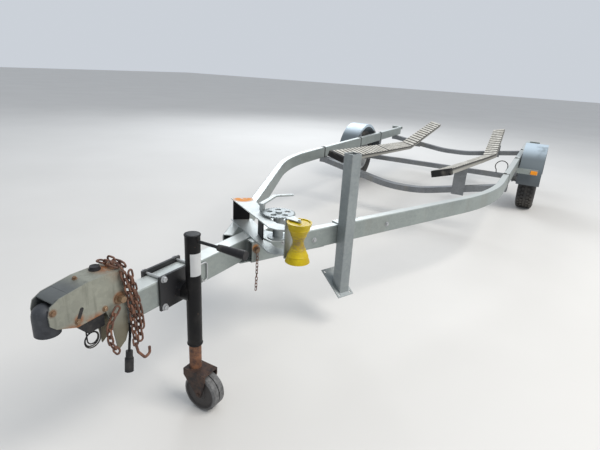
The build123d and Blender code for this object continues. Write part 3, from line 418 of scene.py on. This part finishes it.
def edit(obj, faces=None, edges=None, verts=None):
    """Go into edit mode with just the faces, edges or vertices picked that pass the test."""
    select(obj)
    bpy.ops.object.mode_set(mode="EDIT")
    bpy.ops.mesh.select_all(action="DESELECT")
    bpy.ops.mesh.select_mode(type="FACE" if faces else "EDGE" if edges else "VERT")
    mesh = bmesh.from_edit_mesh(obj.data)
    if faces:
        for face in mesh.faces:
            face.select_set(bool(faces(face.calc_center_median(), face.normal)))
    elif edges:
        for edge in mesh.edges:
            edge.select_set(bool(edges(edge.verts[0].co, edge.verts[1].co)))
    elif verts:
        for vert in mesh.verts:
            vert.select_set(bool(verts(vert.co)))
        mesh.select_flush(True)
    bmesh.update_edit_mesh(obj.data)


def everything(*_):
    """A test that picks all."""
    return True


def facing_up(centre, normal):
    return normal.z > 0.9


def leave():
    bpy.ops.object.mode_set(mode="OBJECT")


def select(*objects):
    """Select just these objects and make the first of them the active one."""
    clear_selection()
    for obj in objects:
        obj.select_set(True)
    bpy.context.view_layer.objects.active = objects[0]


def shift(obj, move, **picked):
    """Move the faces, edges or vertices that the test picks."""
    edit(obj, **picked)
    bpy.ops.transform.translate(value=move)
    leave()


def scale(factors, centre):
    bpy.ops.transform.resize(value=factors, center_override=centre)


def extrude(move):
    bpy.ops.mesh.extrude_region_move()
    bpy.ops.transform.translate(value=move)


def inset(thickness, rise):
    """Draw the picked faces in from their border and lift them along Z."""
    bpy.ops.mesh.inset(thickness=thickness)
    bpy.ops.transform.translate(value=(0, 0, rise))


def remove_faces(obj, picked):
    edit(obj, faces=picked)
    bpy.ops.mesh.delete(type="FACE")
    leave()


def join(*objects):
    select(*objects)
    bpy.ops.object.join()
    return bpy.context.object


def modify(obj, kind, **options):
    """Add a modifier and apply it at once."""
    select(obj)
    modifier = obj.modifiers.new(kind.title(), kind)
    for key, value in options.items():
        setattr(modifier, key, value)
    bpy.ops.object.modifier_apply(modifier=modifier.name)


def bevel(obj, width, segments=2):
    modify(obj, "BEVEL", width=width, segments=segments, limit_method="ANGLE")


def copies(obj, matrices, name):
    """Copy a piece to each place, each copy with its own mesh, and join them into one piece."""
    clear_selection()
    for matrix in matrices:
        twin = obj.copy()
        twin.data = obj.data.copy()
        twin.data.transform(matrix)
        bpy.context.collection.objects.link(twin)
        twin.select_set(True)
        bpy.context.view_layer.objects.active = twin
    bpy.data.objects.remove(obj)
    bpy.ops.object.join()
    whole = bpy.context.object
    whole.name = name
    return whole


def finish_piece(obj, material, body, smooth=40.0):
    select(obj)
    if obj.type == "MESH":
        bpy.ops.object.shade_smooth_by_angle(angle=math.radians(smooth))
    obj.data.materials.clear()
    obj.data.materials.append(material)
    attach(obj, body)
    return obj


def at(point, normal, spin=0.0):
    """Place a piece at the point with its +Z along the normal, turned by spin round it."""
    facing = Vector(normal).to_track_quat("Z", "Y").to_matrix().to_4x4()
    return Matrix.Translation(point) @ facing @ Matrix.Rotation(spin, 4, "Z")


# Chains of round wire.


def round_link(name, wire, length, width):
    """A torus whose two halves are drawn apart into a straight-sided link along X."""
    link = add("torus", name, major_radius=(width - wire) / 2, minor_radius=wire / 2,
               major_segments=20, minor_segments=8)
    half = (length - width) / 2
    shift(link, (half, 0, 0), verts=lambda co: co.x > 0.0001)
    shift(link, (-half, 0, 0), verts=lambda co: co.x < -0.0001)
    return link


def chain_joints(points, pitch, samples=200):
    """Places one pitch apart along a route, between which the links lie."""
    joints = [Vector(points[0])]
    for a, b in zip(points, points[1:]):
        for i in range(samples + 1):
            p = Vector(a).lerp(Vector(b), i / samples)
            if (p - joints[-1]).length >= pitch:
                joints.append(joints[-1] + (p - joints[-1]).normalized() * pitch)
    return joints


def round_chain(name, routes, wire, length, width, node):
    """Round links along each route, each turned a quarter from the one before it."""
    places = []
    pitch = length - 2 * wire
    for route, turned in routes:
        joints = chain_joints(route, pitch)
        for i, (a, b) in enumerate(zip(joints, joints[1:])):
            d = (b - a).normalized()
            side = Vector((1, 0, 0)) if abs(d.x) < 0.9 else Vector((0, 0, 1))
            up = d.cross(side).normalized()
            if (i % 2 == 0) == turned:
                up = d.cross(up).normalized()
            across = up.cross(d)
            basis = Matrix((d, across, up)).transposed().to_4x4()
            wobble = Matrix.Rotation(random.uniform(-0.22, 0.22), 4, "X")
            places.append(Matrix.Translation((a + b) / 2) @ basis @ wobble)
    chain = copies(round_link(name + "_link", wire, length, width), places, name)
    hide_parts(node)
    return finish_piece(chain, chain_rust, "frame", 60.0)


side_y, wide_y = 0.0567, 0.0625
round_chain("safety_chain_round", [
    ([(2.992, -0.038, 0.6945), (2.984, 0.020, 0.6945), (2.978, 0.050, 0.6885), (2.974, side_y, 0.660),
      (2.958, side_y, 0.564), (2.948, side_y, 0.386)], False),
    ([(2.950, side_y, 0.668), (2.932, side_y, 0.564), (2.918, side_y, 0.500), (2.914, side_y, 0.420)], False),
    ([(2.960, wide_y, 0.655), (2.944, wide_y, 0.560), (2.934, wide_y, 0.470), (2.930, wide_y - 0.001, 0.378)],
     True),
    ([(2.962, -0.028, 0.6945), (2.960, 0.020, 0.6945), (2.962, 0.060, 0.689)], True),
    ([(3.006, side_y, 0.560), (3.036, side_y, 0.524), (3.050, side_y, 0.484), (3.040, side_y, 0.430),
      (3.016, side_y, 0.392)], False),
], 0.007, 0.040, 0.025, "safety_chain")

# The left rail runs outward from the tongue at the bow angle.
bow = math.radians(23.94)
forward = Vector((math.cos(bow), -math.sin(bow), 0))
outward = Vector((math.sin(bow), math.cos(bow), 0))
rail_start = Vector((2.306, 0.0381 + 0.0508 * math.cos(bow) + 0.0003, 0))


def rail_point(along, out, z):
    """A place on the left rail's outer face: along it toward the stern, and out from it."""
    p = rail_start - forward * along + outward * out
    return Vector((p.x, p.y, z))


thin_top = rail_point(0.022, 0.010, 0.516)
thin_route = [thin_top, thin_top + Vector((0.002, 0, -0.096)), thin_top + Vector((0.007, 0, -0.198))]
round_chain("thin_chain_round", [(thin_route, False)], 0.0036, 0.024, 0.014, "thin_chain")

# Tyres with tread. A groove is a band across the tyre, a pocket band also has the third step that is
# cut, and each side ring is a move outward and a shrink.
TYRE_RADIUS, TYRE_WIDTH = 0.305, 0.132
GROOVES = ((-0.047, -0.041), (-0.017, -0.011), (0.011, 0.017), (0.041, 0.047))
POCKET_BANDS = ((0.047, 0.066, 0), (0.017, 0.041, 1))
SIDE_RINGS = ((0.009, 0.985), (0.006, 0.966), (0.004, 0.952), (0.0, 0.86), (-0.003, 0.835), (-0.016, 0.89))


def from_axle(co):
    return math.hypot(co.x - AXLE_X, co.z - AXLE_Z)


def tread_step(co):
    """Number of the three-degree step round the tyre that a place is in."""
    return int(math.degrees(math.atan2(co.z - AXLE_Z, co.x - AXLE_X)) // 3)


def make_tyre(side, label):
    """A ring with ribs and grooves round it, drawn in to its beads at each side."""
    middle = (AXLE_X, side * TRACK, AXLE_Z)
    y = middle[1]
    tyre = add("cylinder", f"tread_{label}", vertices=120, radius=TYRE_RADIUS, depth=TYRE_WIDTH,
               end_fill_type="NOTHING", location=middle, rotation=(math.radians(90), 0, 0))
    for offset in sum(GROOVES, ()):
        edit(tyre, faces=everything)
        bpy.ops.mesh.bisect(plane_co=(AXLE_X, y + offset, AXLE_Z), plane_no=(0, 1, 0))
        leave()
    for low, high in GROOVES:
        edit(tyre, faces=lambda c, n: low < c.y - y < high)
        bpy.ops.mesh.extrude_region_move()
        scale((0.975, 1, 0.975), middle)
        leave()
    for inner, outer, turn in POCKET_BANDS:
        edit(tyre, faces=lambda c, n: (inner < abs(c.y - y) < outer and from_axle(c) > TYRE_RADIUS - 0.001
                                       and tread_step(c) % 3 == turn))
        bpy.ops.mesh.extrude_region_move()
        scale((0.978, 1, 0.978), middle)
        leave()
    for end in (-1, 1):
        edit(tyre, verts=lambda co: (abs(co.y - y - end * TYRE_WIDTH / 2) < 0.0005
                                     and from_axle(co) > TYRE_RADIUS - 0.002))
        bpy.ops.mesh.select_mode(type="EDGE")
        for move, shrink in SIDE_RINGS:
            bpy.ops.mesh.extrude_edges_move()
            bpy.ops.transform.translate(value=(0, end * move, 0))
            scale((shrink, 1, shrink), middle)
        leave()
    edit(tyre, faces=everything)
    bpy.ops.mesh.remove_doubles(threshold=0.0001)
    bpy.ops.mesh.normals_make_consistent(inside=False)
    leave()
    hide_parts(f"tyre_{label}")
    return finish_piece(tyre, tyre_rubber, f"road_wheel_{label}", 35.0)


for side, side_name in SIDES:
    make_tyre(side, side_name)

# Bolts, nuts and washers.


def hex_bolt(name, radius, head, washer, washer_height=0.002):
    """A hexagon head with a chamfered top, standing on a washer at z = 0."""
    bolt = add("cylinder", name, vertices=6, radius=radius, depth=head,
               location=(0, 0, washer_height + head / 2))
    edit(bolt, faces=facing_up)
    inset(radius * 0.14, radius * 0.12)
    leave()
    ring = add("cylinder", name + "_washer", vertices=24, radius=washer, depth=washer_height,
               location=(0, 0, washer_height / 2))
    edit(ring, faces=facing_up)
    inset(washer * 0.08, 0.0004)
    leave()
    return join(bolt, ring)


def bolts(name, places, radius, head, washer, body="frame", material=bolt_zinc):
    """One hexagon bolt at each place."""
    whole = copies(hex_bolt(name + "_one", radius, head, washer), places, name)
    return finish_piece(whole, material, body, 30.0)


NUT_CIRCLE, NUT_FACE = 0.057, 0.0345
for side, side_name in SIDES:
    nut_places = []
    for k in range(5):
        a = math.radians(90 + 72 * k)
        centre = (AXLE_X + NUT_CIRCLE * math.cos(a), side * (TRACK + NUT_FACE),
                  AXLE_Z + NUT_CIRCLE * math.sin(a))
        nut_places.append(at(centre, (0, side, 0), random.uniform(0, 1)))
    bolts(f"lug_nuts_{side_name}", nut_places, 0.010, 0.014, 0.0115, f"road_wheel_{side_name}")

clamp_x, clamp_z, plate_y = 2.724, 0.5182, 0.0481
clamp_places = []
for dx in (-0.077, 0.077):
    for dz in (-0.0568, 0.0568):
        for side, spin in ((1, 0.3 + dx), (-1, 0.9 + dz)):
            clamp_places.append(at((clamp_x + dx, side * plate_y, clamp_z + dz), (0, side, 0), spin))
bolts("jack_clamp_bolts", clamp_places, 0.0105, 0.008, 0.0135)
bolts("rail_bolts", [at(rail_point(along, 0.0003, z), outward, spin) for along, z, spin in (
    (0.357, 0.515, 0.2), (0.878, 0.515, 0.5), (0.170, 0.540, 0.8))], 0.009, 0.007, 0.013)

# Coupler: hood, snout, cap, bolts and slots.
hood = add("cube", "coupler_hood", size=1.0, location=(3.1565, 0.0, 0.6680), scale=(0.001, 0.0766, 0.0048))
edit(hood, faces=lambda c, n: n.x > 0.9)
for move in ((0.029, 0, -0.0044), (0.010, 0, -0.0032), (0.0065, 0, -0.0050)):
    extrude(move)
leave()
bevel(hood, 0.0012)
finish_piece(hood, zinc_coupler, "frame")

snout_x = 3.206
nose = add("cylinder", "coupler_snout", vertices=48, radius=0.037, depth=0.052, location=(snout_x, 0, 0.577))
edit(nose, faces=facing_up)
for rise, shrink in ((0.012, 0.975), (0.011, 0.925), (0.009, 0.83), (0.006, 0.70), (0.004, 0.5)):
    extrude((0, 0, rise))
    scale((shrink, shrink, 1), (snout_x, 0, 0.6))
leave()
edit(nose, faces=lambda c, n: n.z < -0.9)
inset(0.0025, -0.0001)
bpy.ops.mesh.inset(thickness=0.0088)
extrude((0, 0, 0.037))
inset(0.008, 0.012)
leave()
bar = add("cube", "snout_bar", size=1.0, location=(3.110, 0, 0.600), scale=(0.166, 0.0762, 0.044))
bevel(bar, 0.003)
nose = join(nose, bar)
finish_piece(nose, snout, "slide", 45.0)
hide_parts("coupler_slide")

cap = add("cylinder", "coupler_cap", vertices=40, radius=0.0185, depth=0.004,
          location=(3.024, -0.016, 0.6828))
edit(cap, faces=facing_up)
bpy.ops.mesh.inset(thickness=0.003)
extrude((0, 0, 0.009))
inset(0.004, -0.0015)
leave()
bevel(cap, 0.0008)
finish_piece(cap, plastic, "frame")
bolts("coupler_stud", [at((3.098, -0.010, 0.6788), (0.12, 0, 1), 0.4)], 0.006, 0.006, 0.008, material=plated)

cheek_bolts = ((3.2087, 0.6306, 0.3), (3.0437, 0.568, 0.8), (3.1380, 0.5685, 0.1))
bolts("coupler_bolts", [at((x, side * CHEEK_Y, z), (0, side, 0), spin) for side in (1, -1)
                        for x, z, spin in cheek_bolts], 0.0075, 0.005, 0.0095, material=plated)
slot = add("cylinder", "cheek_slot", vertices=24, radius=0.006, depth=0.0008)
shift(slot, (0.014, 0, 0), verts=lambda co: co.x > 0.0001)
shift(slot, (-0.014, 0, 0), verts=lambda co: co.x < -0.0001)
edit(slot, faces=facing_up)
inset(0.0012, -0.0005)
leave()
slot_places = [at((3.1270, side * (CHEEK_Y + 0.0004), 0.5905), (0, side, 0), math.radians(65))
               for side in (1, -1)]
finish_piece(copies(slot, slot_places, "cheek_slots"), plastic, "frame")

# Jack: blank label, weld collars, pull pin.
jack_label = add("cylinder", "jack_label", vertices=64, radius=0.0289, depth=0.089, end_fill_type="NOTHING",
                 location=(JACK_X, JACK_Y, 0.6245))
label_facing = Vector((0.317, 0.948, 0))
remove_faces(jack_label, lambda c, n: Vector((n.x, n.y, 0)).dot(label_facing) < 0.69)
modify(jack_label, "SOLIDIFY", thickness=0.0004, offset=1.0)
finish_piece(jack_label, white_label, "jack")

collar = add("torus", "jack_collar_one", major_radius=0.0284, minor_radius=0.0024, major_segments=64,
             minor_segments=10)
edit(collar, faces=everything)
bpy.ops.transform.resize(value=(1, 1, 1.5))
leave()
collars = copies(collar, [Matrix.Translation((JACK_X, JACK_Y, z)) for z in (0.283, 0.735)], "jack_collars")
finish_piece(collars, black, "jack")

# The pin's ring is drawn up on one side into an arm that turns toward the jack.
pin_x, pin_y, pin_z = 2.578, 0.0431, 0.492
pin = add("torus", "jack_pull_pin", major_radius=0.016, minor_radius=0.0029, major_segments=32,
          minor_segments=10, location=(pin_x, pin_y, pin_z), rotation=(math.radians(90), 0, 0))
shift(pin, (0, 0, 0.050), verts=lambda co: co.z > pin_z + 0.0005 and co.x < pin_x + 0.0003)
remove_faces(pin, lambda c, n: c.z > pin_z + 0.0005 and c.x > pin_x)
edit(pin, verts=lambda co: co.z > pin_z + 0.0600 and co.x > pin_x - 0.0003)
extrude((0.056, 0, 0.0))
leave()
shank = add("cylinder", "jack_pin_shank", vertices=20, radius=0.0055, depth=0.008,
            location=(2.6262, pin_y, pin_z + 0.066), rotation=(0, math.radians(90), 0))
bevel(shank, 0.001)
finish_piece(join(pin, shank), bolt_zinc, "frame")

# Bow roller: two cones with rings, meeting in a narrow neck. The profile is height, radius.
ROLLER_RADIUS = 0.052
ROLLER_PROFILE = [(0.086, 0.052), (0.082, 0.0508), (0.060, 0.0437), (0.058, 0.0449), (0.055, 0.0426),
                  (0.031, 0.0318), (0.029, 0.0328), (0.026, 0.0302), (0.010, 0.0246), (0.0, 0.0233)]
roller_z = ROLLER_CENTRE[2]
roller = add("cylinder", "bow_roller_cones", vertices=72, radius=ROLLER_RADIUS, depth=0.172,
             location=ROLLER_CENTRE)
heights = [z for z, radius in ROLLER_PROFILE]
for z in heights[1:] + [-z for z in heights[1:-1]]:
    edit(roller, faces=everything)
    bpy.ops.mesh.bisect(plane_co=(0, 0, roller_z + z), plane_no=(0, 0, 1))
    leave()
for z, radius in ROLLER_PROFILE:
    edit(roller, verts=lambda co: abs(abs(co.z - roller_z) - z) < 0.0004)
    scale((radius / ROLLER_RADIUS, radius / ROLLER_RADIUS, 1), ROLLER_CENTRE)
    leave()
for end in (1, -1):
    edit(roller, faces=lambda c, n: n.z * end > 0.9)
    bpy.ops.mesh.inset(thickness=0.007)
    extrude((0, 0, -0.004 * end))
    leave()
bore = add("cylinder", "roller_bore", vertices=32, radius=0.0072, depth=0.30, location=ROLLER_CENTRE)
modify(roller, "BOOLEAN", object=bore, operation="DIFFERENCE")
bpy.data.objects.remove(bore)
finish_piece(roller, finishes["bow_roller"], "roller", 28.0)
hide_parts("bow_roller")

# Boots on the front ends of the front boards, tilted as the boards are.
front, back = stations[0], stations[1]
front_end = Vector(front[:3])
along = (Vector(back[:3]) - front_end).normalized()
roll = math.radians((front[3] + back[3]) / 2)
across = Vector((0, math.cos(roll), math.sin(roll)))
up = along.cross(across).normalized()
up = up if up.z > 0 else -up
across = up.cross(along)
boot_place = Matrix.Translation(front_end + along * 0.029 - up * 0.0235) @ Matrix(
    (-along, -across, up)).transposed().to_4x4()
for side, side_name in SIDES:
    boot = add("cube", f"bunk_boot_{side_name}", size=1.0, scale=(0.062, 0.152, 0.052))
    edit(boot, faces=lambda c, n: n.x > 0.9)
    bpy.ops.mesh.inset(thickness=0.004)
    bpy.ops.transform.translate(value=(0.003, 0, 0))
    leave()
    bevel(boot, 0.006, segments=3)
    boot.data.transform(boot_place)
    if side < 0:
        boot.data.transform(Matrix.Scale(-1, 4, (0, 1, 0)))
        boot.data.flip_normals()
    finish_piece(boot, rubber, "frame")

# Straps round the rails, with a buckle on top and a tail that hangs inside.
strap_y, strap_z = 0.8746, 0.5182
strap = add("cube", "strap_one", size=1.0, scale=(0.018, 0.0536, 0.1044))
edit(strap, edges=lambda a, b: abs(a.x - b.x) > 0.005)
bpy.ops.mesh.bevel(offset=0.0072, segments=4, affect="EDGES")
leave()
buckle = add("cube", "strap_buckle", size=1.0, scale=(0.026, 0.022, 0.006), location=(0, -0.010, 0.0542))
bevel(buckle, 0.0015)
tail = add("cube", "strap_tail", size=1.0, scale=(0.015, 0.0016, 0.060), location=(0, -0.0262, -0.070))
shift(tail, (0.006, 0.005, 0), verts=lambda co: co.z < -0.09)
strap = join(strap, buckle, tail)
half_turn = Matrix.Rotation(math.pi, 4, "Z")
strap_places = []
for x in (-0.27, -1.24, -1.93):
    strap_places.append(Matrix.Translation((x, strap_y, strap_z)))
    strap_places.append(Matrix.Translation((x, -strap_y, strap_z)) @ half_turn)
finish_piece(copies(strap, strap_places, "rail_straps"), plastic, "frame")

# Cords.


def cord_curve(name, points, radius):
    """A cord drawn as one smooth NURBS line through its route's control points."""
    data = bpy.data.curves.new(name, "CURVE")
    data.dimensions = "3D"
    spline = data.splines.new("NURBS")
    spline.points.add(len(points) - 1)
    for point, co in zip(spline.points, points):
        point.co = (*co, 1.0)
    spline.use_endpoint_u = True
    spline.order_u = 3
    data.resolution_u = 12
    data.bevel_depth, data.bevel_resolution = radius, 4
    obj = bpy.data.objects.new(name, data)
    bpy.context.collection.objects.link(obj)
    return finish_piece(obj, rubber, "frame")


hose_points = [(-1.574, 0.768, 0.3304), (-1.574, 0.768, 0.362), (-1.568, 0.784, 0.404),
               (-1.566, 0.776, 0.446), (-1.567, 0.738, 0.472), (-1.569, 0.692, 0.468),
               (-1.571, 0.656, 0.434), (-1.575, 0.650, 0.392), (-1.578, 0.672, 0.362),
               (-1.578, 0.672, 0.3304)]
hose = cord_curve("brake_hose_line", hose_points, 0.005)
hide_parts("brake_hose")

lead_points = [(2.936, 0.014, 0.4674), (2.936, 0.014, 0.440), (2.946, 0.028, 0.414), (2.961, 0.039, 0.392),
               (2.966, 0.042, 0.366)]
lead = cord_curve("wiring_lead_line", lead_points, 0.0045)
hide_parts("wiring_lead")

# The coil leaves the actuator, makes two and a half turns that close in a little, and goes back up.
coil_top, coil_middle, coil_y = 0.5090, 0.4757, 0.0328
coil_points = [(3.0605, coil_y, coil_top)]
for step in range(31):
    angle, radius = math.radians(180 + step * 30), 0.0295 - step * 0.00032
    x = 3.090 - max(0, step - 18) * 0.0006 + radius * math.cos(angle)
    coil_points.append((x, coil_y - step * 0.00034, coil_middle + radius * math.sin(angle)))
coil_points.append((coil_points[-1][0], 0.0222, coil_top))
coil = cord_curve("breakaway_coil_line", coil_points, 0.0022)
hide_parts("breakaway_coil")

# Floor, lights and camera.
floor = add("plane", "floor", size=80.0, location=(0, 0, -0.0005))
floor_look = Look("floor_plain")
cloud = floor_look.noise(0.8, 3.0)
floor_look.set(Base_Color=floor_look.mix(cloud, (0.60, 0.59, 0.57), (0.68, 0.67, 0.65)), Roughness=0.9)
floor.data.materials.append(floor_look.mat)

world = bpy.context.scene.world or bpy.data.worlds.new("studio")
bpy.context.scene.world = world
world.use_nodes = True
sky = world.node_tree.nodes["Background"]
sky.inputs["Color"].default_value = (0.80, 0.85, 0.92, 1.0)
sky.inputs["Strength"].default_value = 0.75


def area_light(name, place, target, size, power, colour):
    data = bpy.data.lights.new(name, "AREA")
    data.size, data.energy, data.color = size, power, colour
    obj = bpy.data.objects.new(name, data)
    obj.matrix_world = at(place, Vector(place) - Vector(target))
    bpy.context.collection.objects.link(obj)


area_light("key", (1.5, 4.5, 6.0), (0.8, 0, 0.4), 4.0, 420.0, (1.0, 0.96, 0.90))
area_light("rim", (-5.0, -4.0, 5.0), (-1.0, 0, 0.4), 4.0, 260.0, (0.92, 0.96, 1.0))

# The camera's place, turn and lens come from the fit to the photograph.
yaw, pitch, camera_roll = -2.6396, 0.3392, -0.0588
look_dir = Vector((math.cos(yaw) * math.cos(pitch), math.sin(yaw) * math.cos(pitch), -math.sin(pitch)))
right = look_dir.cross(Vector((0, 0, 1))).normalized()
down = look_dir.cross(right)
camera_x = right * math.cos(camera_roll) + down * math.sin(camera_roll)
camera_y = right * math.sin(camera_roll) - down * math.cos(camera_roll)
camera_data = bpy.data.cameras.new("photo_camera")
camera_data.sensor_width = 36.0
camera_data.lens = 26.68
camera = bpy.data.objects.new("photo_camera", camera_data)
camera.matrix_world = Matrix.Translation((3.8305, 1.1602, 1.3201)) @ Matrix(
    (camera_x, camera_y, -look_dir)).transposed().to_4x4()
bpy.context.collection.objects.link(camera)
bpy.context.scene.camera = camera
bpy.context.scene.view_settings.view_transform = "Standard"
